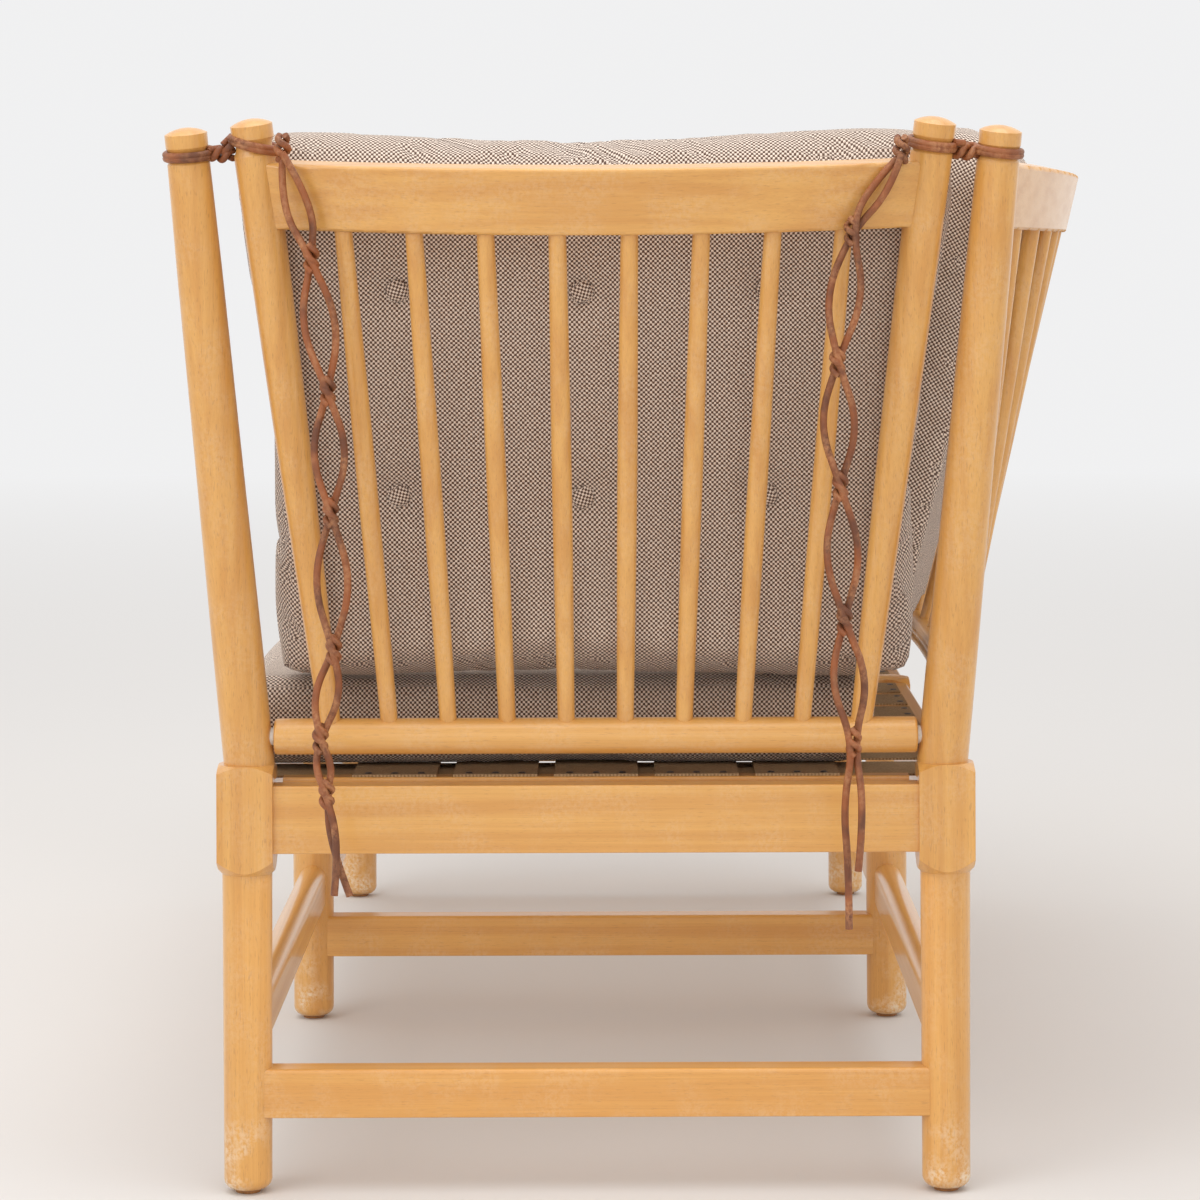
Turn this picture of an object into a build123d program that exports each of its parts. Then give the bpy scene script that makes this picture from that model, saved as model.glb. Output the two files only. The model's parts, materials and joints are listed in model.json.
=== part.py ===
from build123d import *
import math
import os

# A six-legged spindle settee in turned beech with loose cushions. One end is a
# slatted arm frame that hinges on a round bottom rail between two tall corner
# posts and is tied up by leather laces. The other end and the back are fixed.
# X runs along the seat with the drop arm at +X, the open front faces -Y.

# ---- Driving dimensions, millimetres and degrees ----
leg_half_span_x = 675.0
leg_half_span_y = 290.0
post_height = 882.0
leg_foot_radius = 20.0
leg_top_radius = 20.75
toe_round = 9.0
glide_height = 3.0
glide_radius = 10.5
block_half = 23.25
block_bottom = 267.0
block_top = 355.4
middle_block_top = 342.0
post_lean_x = 69.4
post_lean_y = 43.5
post_foot_in = 2.0
post_head_radius = 17.4
rail_bottom = 283.0
rail_top = 339.0
rail_thick = 25.0
rail_inset = 4.0
cross_stretcher_z = (63.5, 103.5)
cross_stretcher_thick = 28.0
side_stretcher_z = (116.0, 156.0)
side_stretcher_thick = 26.0
tenon_depth = 14.0
tenon_thick = 10.0
pivot_height = 378.0
round_rail_radius = 15.0
pivot_rail_half = 266.5
pin_radius = 4.0
pin_clearance = 0.05
bush_radius = 7.5
bush_depth = 16.0
arm_lean = 8.0
arm_post_length = 516.0
arm_post_foot_y = 220.5
arm_post_head_y = 278.0
arm_head_radius = 17.2
head_dome = 4.8
head_cap = 10.8
head_groove = 13.5
crest_thick = 22.0
crest_height = 54.5
crest_mid = 826.0
arm_crest_mid = 454.5
arm_crest_bow = 44.0
arm_crest_tilt = 4.0
back_crest_bow = 126.5
back_crest_tilt = 11.0
back_crest_sag = 2.4
back_rail_bow = 47.0
spindle_end_radius = 7.2
spindle_mid_radius = 8.3
arm_spindle_count = 8
end_spindle_count = 10
back_spindle_count = 15
seat_bottom = 345.0
seat_top = 420.0
seat_front = -331.0
seat_back = 255.0
seat_half_length = 650.0
lace_radius = 3.0
button_radius = 10.5

os.makedirs("parts", exist_ok=True)
nodes = {}

post_joint_part = (pivot_height - block_top) / (post_height - block_top)
pivot_x = leg_half_span_x + post_lean_x * post_joint_part
post_joint_y = leg_half_span_y - post_foot_in + post_lean_y * post_joint_part


# ---- Turned parts ----
def post_head(radius, top, dome, cap, groove):
    """Outline of a turned post head from its lace groove up to its dome, and the height where it starts."""
    rim = top - dome
    neck = rim - cap
    body = neck - groove
    waist = radius - 2.4
    lower = Spline((radius, body), (waist, body + groove * 0.5), (radius, neck))
    side = Line((radius, neck), (radius, rim))
    sphere = (radius**2 + dome**2) / (2 * dome)
    half_turn = math.asin(radius / sphere) / 2
    halfway = (sphere * math.sin(half_turn), top - sphere * (1 - math.cos(half_turn)))
    crown = ThreePointArc((radius, rim), halfway, (0, top))
    return lower + side + crown, body


def turned(outline, bottom_radius, bottom, top):
    """A solid of revolution about local Z from an open outline that starts at the bottom."""
    closing = Polyline((0, top), (0, bottom), (bottom_radius, bottom))
    face = make_face(outline + closing)
    return revolve(Plane.XZ * face, Axis.Z)


def leg_and_post(side_x, side_y, tall):
    """A leg with its square block and, when tall, the leaning corner post above it, as one turned piece."""
    neck = block_bottom - 2.5
    toe = ThreePointArc(
        (leg_foot_radius - toe_round, glide_height),
        (leg_foot_radius - 0.293 * toe_round, glide_height + 0.293 * toe_round),
        (leg_foot_radius, glide_height + toe_round),
    )
    shin = Polyline((leg_foot_radius, glide_height + toe_round), (leg_top_radius, neck), (0, neck))
    leg = turned(toe + shin, leg_foot_radius - toe_round, glide_height, neck)
    top = block_top if tall else middle_block_top
    lathe = make_face(
        Polyline(
            (0, neck),
            (leg_top_radius, neck),
            (block_half, block_bottom),
            (block_half + 10.5, block_bottom + 11.0),
            (block_half + 10.5, top - 7.0),
            (block_half, top),
            (0, top + 0.8),
            (0, neck),
        )
    )
    square = Box(block_half * 2, block_half * 2, top - block_bottom + 20)
    square = fillet(square.edges().filter_by(Axis.Z), 0.9)
    square = Pos(0, 0, (top + block_bottom) / 2) * square
    piece = leg + (revolve(Plane.XZ * lathe, Axis.Z) & square)
    if tall:
        reach = Vector(side_x * post_lean_x, side_y * post_lean_y, post_height - block_top)
        head, body = post_head(post_head_radius, reach.length, head_dome, head_cap, head_groove)
        shaft = Spline((21.1, -14.0), (20.5, 130.0), (19.4, 270.0), (18.6, 400.0), (post_head_radius, body))
        post = turned(shaft + head, 21.1, -14.0, reach.length)
        root = (0, -side_y * post_foot_in, block_top)
        post = Plane(origin=root, x_dir=(-side_x, -side_y, 0), z_dir=reach) * post
        piece = piece + post
    return Pos(side_x * leg_half_span_x, side_y * leg_half_span_y, 0) * piece


def corner_axis(side_x, side_y, height):
    """Where a corner post's axis is at a given height above the floor."""
    part = (height - block_top) / (post_height - block_top)
    x = leg_half_span_x + post_lean_x * part
    y = leg_half_span_y - post_foot_in + post_lean_y * part
    return Vector(side_x * x, side_y * y, height)


def spindle(foot, head, sink_foot, sink_head):
    """A slim turned spindle between two points, with its ends sunk into the rails."""
    span = Vector(*head) - Vector(*foot)
    low = -sink_foot
    high = span.length + sink_head
    side = Spline(
        (spindle_end_radius, low),
        (spindle_mid_radius, span.length * 0.45),
        (spindle_end_radius, high),
        tangents=[(0.004, 1), (-0.004, 1)],
    )
    core = Polyline((spindle_end_radius, high), (0, high), (0, low), (spindle_end_radius, low))
    face = make_face(side + core)
    return Plane(origin=foot, z_dir=span) * revolve(Plane.XZ * face, Axis.Z)


def bow_radius(half_chord, bow):
    """Radius of a circular arc from its half chord and its rise."""
    return (half_chord**2 + bow**2) / (2 * bow)


def bow_at(half_chord, bow, position):
    """How far a bowed rail stands off its chord at a distance from its middle."""
    radius = bow_radius(half_chord, bow)
    return math.sqrt(radius**2 - position**2) - (radius - bow)


def board_section(tilt):
    """The section of a crest rail, with its top tipped outward."""
    return Rot(0, 0, -tilt) * RectangleRounded(crest_thick, crest_height, 3.0)


def bent(section, half_chord, bow, overrun):
    """A piece of one section bent along local X, bowing toward +Y from a chord through the origin."""
    radius = bow_radius(half_chord, bow)
    half_turn = math.degrees(math.asin((half_chord + overrun) / radius))
    sweep_face = Plane.XZ * Pos(radius, 0) * section
    arc = revolve(sweep_face, Axis.Z, revolution_arc=2 * half_turn)
    return Pos(0, bow - radius, 0) * Rot(0, 0, 90 - half_turn) * arc


def crest_seat(half, bow, tilt, position):
    """Offset and drop, from the crest's middle line, of the point where a spindle meets its underside."""
    slope = math.radians(tilt)
    offset = bow_at(half, bow, position) - crest_height / 2 * math.sin(slope)
    return offset, crest_height / 2 * math.cos(slope)


def largest(piece):
    """The main solid of a piece that a cut has left in several."""
    return piece.solids().sort_by(SortBy.VOLUME)[-1]


def moved_point(place, point):
    """A point carried by a location."""
    return (place * Pos(*point)).position


# ---- Legs, corner posts and glides ----
legs = {}
for end_name, side_x in (("drop", 1), ("fixed", -1)):
    for face_name, side_y in (("front", -1), ("back", 1)):
        legs[f"corner_post_{end_name}_{face_name}"] = leg_and_post(side_x, side_y, True)
legs["middle_leg_front"] = leg_and_post(0, -1, False)
legs["middle_leg_back"] = leg_and_post(0, 1, False)

glide = Pos(0, 0, glide_height / 2) * Cylinder(glide_radius, glide_height)
glide = fillet(glide.edges().sort_by(Axis.Z)[0], 0.8)
nodes["foot_glides"] = Compound(
    [Pos(x * leg_half_span_x, y * leg_half_span_y, 0) * glide for x in (-1, 0, 1) for y in (-1, 1)]
)

# ---- Rails and stretchers, each with a tenon at both ends ----
inner_x = leg_half_span_x - block_half
inner_y = leg_half_span_y - block_half
rail_offset = block_half - rail_inset - rail_thick / 2
heart = Cylinder(leg_foot_radius - tenon_depth, 700)


def straight_rail(name, along, centre, middle, half_length, thick, heights, top_round, ends):
    """A straight rail along X or Y, shouldered or coped to the legs named in ends and tenoned into them."""
    low, high = heights
    bar = Box(2 * half_length, thick, high - low)
    bar = fillet(bar.edges().filter_by(Axis.X).group_by(Axis.Z)[-1], top_round)
    bar = fillet(bar.edges().filter_by(Axis.X).group_by(Axis.Z)[0], 1.2)
    tenon = Box(2 * half_length + 2 * tenon_depth, tenon_thick, (high - low) * 0.6)
    if along == "x":
        place = Pos(middle, centre, (low + high) / 2)
    else:
        place = Pos(centre, middle, (low + high) / 2) * Rot(0, 0, 90)
    bar = place * bar
    tenon = place * tenon
    for leg_name in ends:
        x, y = leg_axes[leg_name]
        bar = bar - legs[leg_name]
        if "stretcher" in name:
            tenon = tenon - Pos(x, y, 0) * heart
    bar = largest(bar)
    tenon = largest(tenon)
    for leg_name in ends:
        legs[leg_name] = legs[leg_name] - tenon
    nodes[name] = bar + tenon


seat_rail = (rail_bottom, rail_top)
front_back = (("front", -1), ("back", 1))
drop_middle_fixed = (
    ("corner_post_drop", leg_half_span_x),
    ("middle_leg", 0),
    ("corner_post_fixed", -leg_half_span_x),
)
leg_axes = {}
for leg_stem, x in drop_middle_fixed:
    for face_name, side in front_back:
        leg_axes[f"{leg_stem}_{face_name}"] = (x, side * leg_half_span_y)

for name, leg_stem, centre in (
    ("end_rail_drop", "corner_post_drop", leg_half_span_x + rail_offset),
    ("middle_cross_rail", "middle_leg", 0),
    ("end_rail_fixed", "corner_post_fixed", -leg_half_span_x - rail_offset),
):
    ends = (f"{leg_stem}_front", f"{leg_stem}_back")
    straight_rail(name, "y", centre, 0, inner_y, rail_thick, seat_rail, 2.0, ends)

for name, (leg_stem, x) in zip(("drop", "middle", "fixed"), drop_middle_fixed):
    ends = (f"{leg_stem}_front", f"{leg_stem}_back")
    half = leg_half_span_y - 8
    straight_rail(
        f"cross_stretcher_{name}", "y", x, 0, half, cross_stretcher_thick, cross_stretcher_z, 3.5, ends
    )

bay_middle = leg_half_span_x / 2
for face_name, side in front_back:
    for bay_name, middle in (("drop", bay_middle), ("fixed", -bay_middle)):
        ends = (f"corner_post_{bay_name}_{face_name}", f"middle_leg_{face_name}")
        centre = side * (leg_half_span_y + rail_offset)
        half = bay_middle - block_half
        name = f"{face_name}_rail_{bay_name}_bay"
        straight_rail(name, "x", centre, middle, half, rail_thick, seat_rail, 2.0, ends)
        centre = side * leg_half_span_y
        half = bay_middle - 8
        name = f"side_stretcher_{face_name}_{bay_name}"
        straight_rail(name, "x", centre, middle, half, side_stretcher_thick, side_stretcher_z, 12.5, ends)
print("rails and stretchers done")

# ---- Drop arm, built upright about the pivot axis and then leaned outward ----
lean = Pos(pivot_x, 0, pivot_height) * Rot(0, arm_lean, 0)


def arm_edge(side):
    """The line of an arm post's axis: its foot on the pivot rail and its head, in the arm's upright frame."""
    foot = Vector(0, side * arm_post_foot_y, round_rail_radius - 4)
    return foot, Vector(0, side * arm_post_head_y, arm_post_length)


arm_parts = {}
for face_name, side in front_back:
    foot, top = arm_edge(side)
    span = top - foot
    head, body = post_head(arm_head_radius, span.length, head_dome, head_cap, head_groove)
    shaft = Spline((9.0, 0), (11.6, 110), (14.3, 250), (16.1, 370), (arm_head_radius, body))
    post = turned(shaft + head, 9.0, 0, span.length)
    arm_parts[f"drop_arm_post_{face_name}"] = Plane(origin=foot, z_dir=span) * post

arm_crest_half = 268.0
arm_crest = Pos(0, 0, arm_crest_mid) * Rot(0, 0, -90) * bent(
    board_section(arm_crest_tilt), arm_crest_half, arm_crest_bow, 4.0
)


arm_spindles = []
for index in range(arm_spindle_count):
    step = index - (arm_spindle_count - 1) / 2
    offset, drop = crest_seat(arm_crest_half, arm_crest_bow, arm_crest_tilt, step * 57.9)
    foot = (0, step * 49.0, round_rail_radius)
    head = (offset, step * 57.9, arm_crest_mid - drop)
    arm_spindles.append(spindle(foot, head, 9, 14))

pivot_rail = Rot(90, 0, 0) * Cylinder(round_rail_radius, 2 * pivot_rail_half)
pivot_rail = fillet(pivot_rail.edges().filter_by(GeomType.CIRCLE), 2.5)
for piece in arm_spindles:
    pivot_rail = pivot_rail - piece
    arm_crest = arm_crest - piece
for face_name, side in front_back:
    post = arm_parts[f"drop_arm_post_{face_name}"]
    arm_crest = arm_crest - post
    pivot_rail = pivot_rail - post
pin = Cylinder(pin_radius, 27)
pins = [Pos(0, side * (pivot_rail_half + 1.5), 0) * Rot(90, 0, 0) * pin for side in (-1, 1)]
for piece in pins:
    pivot_rail = pivot_rail - piece
nodes["drop_arm_pivot_rail"] = lean * pivot_rail
nodes["drop_arm_crest_rail"] = lean * largest(arm_crest)
nodes["drop_arm_spindles"] = lean * Compound(arm_spindles)
nodes["pivot_pins"] = lean * Compound(pins)
for name, piece in arm_parts.items():
    nodes[name] = lean * piece

# ---- Pivot bushes let into the drop-end corner posts ----
bushes = []
for face_name, side in front_back:
    name = f"corner_post_drop_{face_name}"
    blank = Pos(pivot_x, side * (pivot_rail_half + 0.6 + bush_depth / 2), pivot_height) * Rot(90, 0, 0)
    legs[name] = legs[name] - blank * Cylinder(bush_radius, bush_depth)
    pin_hole = Cylinder(pin_radius + pin_clearance, bush_depth)
    bushes.append(blank * (Cylinder(bush_radius, bush_depth) - pin_hole))
nodes["pivot_bushes"] = Compound(bushes)

# ---- Back: bent crest rail, bent bottom rail and spindles ----
post_y = corner_axis(1, 1, crest_mid).Y
post_x = corner_axis(1, 1, crest_mid).X
back_top = Pos(0, post_y, crest_mid) * Rot(-back_crest_sag, 0, 0)
back_low = Pos(0, post_joint_y, pivot_height)
back_crest = back_top * bent(board_section(back_crest_tilt), post_x, back_crest_bow, 2.0)
back_rail = back_low * bent(Circle(round_rail_radius), pivot_x, back_rail_bow, 2.0)
back_pitch = 2 * post_x / (back_spindle_count + 1.14)
back_spindles = []
for index in range(back_spindle_count):
    step = index - (back_spindle_count - 1) / 2
    offset, drop = crest_seat(post_x, back_crest_bow, back_crest_tilt, step * back_pitch)
    head = moved_point(back_top, (step * back_pitch, offset, -drop))
    low_x = step * back_pitch * pivot_x / post_x
    foot = moved_point(back_low, (low_x, bow_at(pivot_x, back_rail_bow, low_x) + 3.0, round_rail_radius))
    back_spindles.append(spindle(foot, head, 9, 14))

# ---- Fixed end: the same build, let straight into the corner posts ----
end_top = Pos(-post_x, 0, crest_mid) * Rot(0, 0, 90) * Rot(-back_crest_sag, 0, 0)
end_crest = end_top * bent(board_section(arm_crest_tilt + 5.0), post_y, arm_crest_bow, 2.0)
end_rail = Pos(-pivot_x, 0, pivot_height) * Rot(90, 0, 0) * Cylinder(round_rail_radius, 2 * post_joint_y)
end_pitch = 2 * post_y / (end_spindle_count + 1)
end_spindles = []
for index in range(end_spindle_count):
    step = index - (end_spindle_count - 1) / 2
    offset, drop = crest_seat(post_y, arm_crest_bow, arm_crest_tilt + 5.0, step * end_pitch)
    head = moved_point(end_top, (step * end_pitch, offset, -drop))
    foot = (-pivot_x, step * end_pitch * post_joint_y / post_y, pivot_height + round_rail_radius)
    end_spindles.append(spindle(foot, head, 9, 14))

for crest, rail, spindles, posts, stem in (
    (back_crest, back_rail, back_spindles, ("drop_back", "fixed_back"), "back"),
    (end_crest, end_rail, end_spindles, ("fixed_front", "fixed_back"), "fixed_end"),
):
    for piece in spindles:
        crest = crest - piece
        rail = rail - piece
    for post in posts:
        crest = crest - legs[f"corner_post_{post}"]
        rail = rail - legs[f"corner_post_{post}"]
    nodes[f"{stem}_crest_rail"] = largest(crest)
    nodes[f"{stem}_bottom_rail"] = largest(rail)
    nodes[f"{stem}_spindles"] = Compound(spindles)
for name, piece in legs.items():
    nodes[name] = piece
print("back and fixed end done")

# ---- Seat support: end battens, webbing and tacks ----
batten_width = 18.0
batten_top = 342.5
web_width = 70.0
web_thick = 2.0
web_pitch = 84.0
cross_pitch = 90.0
batten_x = leg_half_span_x + rail_offset - rail_thick / 2 - batten_width / 2
for name, side in (("batten_drop", 1), ("batten_fixed", -1)):
    bar = Pos(side * batten_x, 0, batten_top - 9) * Box(batten_width, 2 * (inner_y - 6), 18)
    nodes[name] = fillet(bar.edges().filter_by(Axis.Y).group_by(Axis.Z)[-1], 2.0)
long_band = Box(2 * (batten_x + 8), web_width, web_thick)
nodes["webbing_long"] = Compound(
    [Pos(0, (index - 2) * web_pitch, batten_top + web_thick / 2) * long_band for index in range(5)]
)
cross_half = leg_half_span_y + rail_offset
cross_band = Box(web_width, 2 * cross_half, web_thick * 0.9)
cross_places = [side * (cross_pitch * (index + 0.8)) for index in range(7) for side in (-1, 1)]
nodes["webbing_cross"] = Compound([Pos(x, 0, rail_top + web_thick * 0.45) * cross_band for x in cross_places])
tack = Cone(3.4, 2.2, 0.9)
tacks = []
for side in (-1, 1):
    for index in range(5):
        for shift in (-22, 0, 22):
            place = Pos(side * batten_x, (index - 2) * web_pitch + shift, batten_top + web_thick + 0.45)
            tacks.append(place * tack)
    for x in cross_places:
        for shift in (-20, 20):
            tacks.append(Pos(x + shift, side * (cross_half - 6), rail_top + web_thick * 0.9 + 0.45) * tack)
nodes["webbing_tacks"] = Compound(tacks)

# ---- Loose cushions ----
mattress = Box(2 * seat_half_length, seat_back - seat_front, seat_top - seat_bottom)
mattress = fillet(mattress.edges().filter_by(Axis.Z), 20)
mattress = fillet(mattress.edges().group_by(Axis.Z)[-1] + mattress.edges().group_by(Axis.Z)[0], 12)
nodes["seat_mattress"] = Pos(0, (seat_back + seat_front) / 2, (seat_top + seat_bottom) / 2) * mattress
under_seat = Pos(0, 0, seat_top + 1.0 - 200) * Box(3000, 2000, 400)


def loose_cushion(low_half, high_half, height, thick, place, button_places):
    """An upright boxed cushion whose outer face is the local YZ plane, with buttons sunk in both faces."""
    sections = []
    for level, inset in ((-30, 0), (height - 16, 0), (height, 9)):
        half = low_half + (high_half - low_half) * level / height
        outline = RectangleRounded(thick - 2 * inset, 2 * (half - inset), 22 - inset)
        sections.append(Pos(-thick / 2, 0, level) * outline)
    body = place * loft(sections, ruled=True) - under_seat
    buttons = []
    for across, up in button_places:
        for depth in (-2.0, 2.0 - thick):
            seat = place * Pos(depth, across, up) * Rot(0, 90, 0)
            body = body - seat * Cylinder(button_radius + 0.4, 4.2)
            buttons.append(seat * Cylinder(button_radius, 3.6))
    return largest(body), buttons


def button_grid(columns, pitch, centre, rows):
    """Places of buttons in rows across a cushion's face."""
    return [(centre + (index - (columns - 1) / 2) * pitch, up) for up in rows for index in range(columns)]


arm_place = lean * Pos(-22, 0, 44)
grid = button_grid(3, 152, -10, (154, 326))
nodes["arm_cushion"], buttons = loose_cushion(268, 300, 466, 90, arm_place, grid)
nodes["arm_cushion_buttons"] = Compound(buttons)
end_place = Pos(-pivot_x, 0, pivot_height) * Rot(0, -arm_lean, 0) * Pos(19, 0, 44) * Rot(0, 0, 180)
nodes["end_cushion"], fixed_buttons = loose_cushion(266, 304, 466, 90, end_place, grid)
for name, side in (("back_cushion_drop", 1), ("back_cushion_fixed", -1)):
    back_place = Pos(side * 296, 289.5, seat_top) * Rot(0, 0, 90 - side * 7.8) * Rot(0, 14.5, 0)
    grid = button_grid(3, 170, 0, (165, 330))
    nodes[name], buttons = loose_cushion(278, 278, 474, 100, back_place, grid)
    fixed_buttons = fixed_buttons + buttons
nodes["cushion_buttons"] = Compound(fixed_buttons)
print("cushions done")

# ---- Leather laces ----
thong_ring = Torus(post_head_radius - 1.4 + lace_radius, lace_radius)
groove_depth = head_dome + head_cap + head_groove / 2
knot_length = 8.4
for face_name, side in front_back:
    reach = Vector(post_lean_x, side * post_lean_y, post_height - block_top)
    middle = corner_axis(1, side, block_top) + reach * ((reach.length - groove_depth) / reach.length)
    groove = Plane(origin=middle, x_dir=(1, 0, 0), z_dir=reach)
    turns = [groove * Pos(0, 0, shift) * thong_ring for shift in (-3.15, 3.15)]
    link = groove * Pos(5, -side * 26.4, 0) * Rot(90, 0, 0) * Cylinder(4.6, knot_length)
    nodes[f"lace_loop_{face_name}"] = Compound(turns + [link])
    foot, top = arm_edge(side)
    span = top - foot
    middle = foot + span * ((span.length - groove_depth) / span.length)
    groove = lean * Plane(origin=middle, x_dir=(1, 0, 0), z_dir=span).location
    turns = [groove * Pos(0, 0, shift) * thong_ring for shift in (-3.15, 3.15)]
    nodes[f"lace_ring_{face_name}"] = Compound(turns)

# Each thong end hangs plumb outside the arm; the two ends of one thong cross at
# the listed places (Y, Z) and part between them into long eyes.
lace_plane = 774.0
cross_gap = 4.2
front_crossings = [(-250, 861), (-227, 776), (-214, 669), (-212, 571), (-210, 461), (-221, 389), (-216, 345)]
back_crossings = [(248, 858), (208, 796), (196, 691), (198, 591), (201, 483), (208, 385)]
front_tails = [[(-206, 305), (-210, 264)], [(-214, 304), (-198, 262)]]
back_tails = [[(216.5, 334), (211, 282)], [(199.5, 334), (204, 282), (204, 234)]]


def twisted_route(crossings, tail, lead, eye_share):
    """Points of one thong: before or behind the other at each crossing, and on one side of each eye."""
    points = []
    for index, (y, z) in enumerate(crossings):
        front = lead if index % 2 == 0 else -lead
        points.append((lace_plane + front * cross_gap, y, z))
        if index + 1 < len(crossings):
            next_y, next_z = crossings[index + 1]
            half_eye = min(12.0, (z - next_z) * eye_share) * (lead if index % 2 == 0 else -lead)
            points.append((lace_plane + 0.4 * lead, (y + next_y) / 2 + half_eye, (z + next_z) / 2))
    return points + [(lace_plane + cross_gap * lead, y, z) for y, z in tail]


def cord_radii(points):
    """The bend radius at each inner point: as large as its shorter run allows."""
    radii = []
    for before, here, after in zip(points, points[1:], points[2:]):
        run_in = Vector(*here) - Vector(*before)
        run_out = Vector(*after) - Vector(*here)
        half_turn = math.radians(run_in.get_angle(run_out)) / 2
        radii.append(0.45 * min(run_in.length, run_out.length) / math.tan(half_turn))
    return radii


for face_name, crossings, tails in (
    ("front", front_crossings, front_tails),
    ("back", back_crossings, back_tails),
):
    for letter, lead, tail in (("a", 1, tails[0]), ("b", -1, tails[1])):
        points = twisted_route(crossings, tail, lead, 0.12)
        radii = cord_radii(points)
        route = FilletPolyline(*points, radius=radii)
        tube = sweep(Plane(origin=route @ 0, z_dir=route % 0) * Circle(lace_radius), path=route)
        nodes[f"lace_{face_name}_{letter}"] = tube
        print(face_name, letter, "thong length", round(route.length, 1), "least bend", round(min(radii), 1))

# ---- The footprint box is centred on the origin, and each node is written ----
cords = [name for name in nodes if name.startswith("lace_") and name[-2] == "_"]
bounds = [nodes[name].bounding_box() for name in nodes if name not in cords]
shift_x = -(min(b.min.X for b in bounds) + max(b.max.X for b in bounds)) / 2
shift_y = -(min(b.min.Y for b in bounds) + max(b.max.Y for b in bounds)) / 2
print("moved by", round(shift_x, 3), round(shift_y, 3))
print("pivot at", round(pivot_x + shift_x, 3), round(shift_y, 3), pivot_height)
for name, piece in nodes.items():
    export_step(Pos(shift_x, shift_y, 0) * piece, f"parts/{name}.step")
print(len(nodes), "nodes written")
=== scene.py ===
import json
import math

import bmesh
import bpy
from mathutils import Matrix, Vector, noise


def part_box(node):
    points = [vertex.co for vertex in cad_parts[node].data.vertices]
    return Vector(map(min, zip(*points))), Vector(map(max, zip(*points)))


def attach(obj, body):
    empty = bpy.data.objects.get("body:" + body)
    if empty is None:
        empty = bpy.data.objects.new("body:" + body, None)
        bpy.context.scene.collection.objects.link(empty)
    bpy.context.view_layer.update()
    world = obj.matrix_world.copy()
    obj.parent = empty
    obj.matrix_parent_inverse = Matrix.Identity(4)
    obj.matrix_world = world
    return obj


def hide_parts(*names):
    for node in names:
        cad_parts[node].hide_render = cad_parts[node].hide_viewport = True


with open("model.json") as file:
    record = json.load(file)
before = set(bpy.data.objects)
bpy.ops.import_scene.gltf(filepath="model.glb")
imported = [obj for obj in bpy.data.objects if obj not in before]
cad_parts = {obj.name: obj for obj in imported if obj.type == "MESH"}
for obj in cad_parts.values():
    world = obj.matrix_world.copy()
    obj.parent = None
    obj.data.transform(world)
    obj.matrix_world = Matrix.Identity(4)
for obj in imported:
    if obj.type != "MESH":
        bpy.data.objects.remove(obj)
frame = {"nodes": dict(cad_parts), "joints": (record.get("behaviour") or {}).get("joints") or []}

bl_info = {
    "name": "Drop-Arm Settee",
    "version": (1, 0, 0),
    "blender": (4, 5, 0),
    "location": "View3D > Sidebar > Settee",
    "description": "Covers, laces, webbing and finishes for a spindle settee with a drop arm",
    "category": "Object",
}

# The hinge gives the arm's place; the seat mattress gives the height that the cushions stand on.
HINGE = frame["joints"][0]
PIVOT = Vector(HINGE["pos_m"])
SEAT_LOW, SEAT_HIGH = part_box("seat_mattress")
SEAT_TOP = SEAT_HIGH.z
CENTRE_X = (SEAT_LOW.x + SEAT_HIGH.x) / 2
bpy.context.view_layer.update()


# ---------------------------------------------------------------- settings
class SetteeSizes(bpy.types.PropertyGroup):
    """Sizes of the soft parts and of the view, in metres and radians."""

    arm_lean: bpy.props.FloatProperty(
        name="Arm lean", description="How far the raised arm leans outward", default=math.radians(8.0),
        subtype="ANGLE",
    )
    back_lean: bpy.props.FloatProperty(
        name="Back lean", description="How far the back cushions recline", default=math.radians(14.5),
        subtype="ANGLE",
    )
    back_yaw: bpy.props.FloatProperty(
        name="Back yaw", description="How far each back cushion turns along the bowed back",
        default=math.radians(7.8), subtype="ANGLE",
    )
    puff: bpy.props.FloatProperty(
        name="Puff", description="Farthest that the cloth of a cushion may swell", default=0.020, unit="LENGTH"
    )
    voxel: bpy.props.FloatProperty(
        name="Voxel", description="Size of the cells that a cushion is remeshed with", default=0.0095,
        unit="LENGTH",
    )
    thong: bpy.props.FloatProperty(
        name="Thong diameter", description="Thickness of the leather thong", default=0.006, unit="LENGTH"
    )
    weave: bpy.props.FloatProperty(
        name="Weave repeat", description="Distance between like threads of the cover", default=0.0039,
        unit="LENGTH",
    )
    view_distance: bpy.props.FloatProperty(
        name="View distance", description="Camera's distance from the middle of the settee",
        default=3.757, unit="LENGTH",
    )
    view_height: bpy.props.FloatProperty(
        name="View height", description="Camera's height above the floor", default=0.806, unit="LENGTH"
    )
    view_side: bpy.props.FloatProperty(
        name="View side", description="Camera's place across the settee", default=-0.0419, unit="LENGTH"
    )


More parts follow.
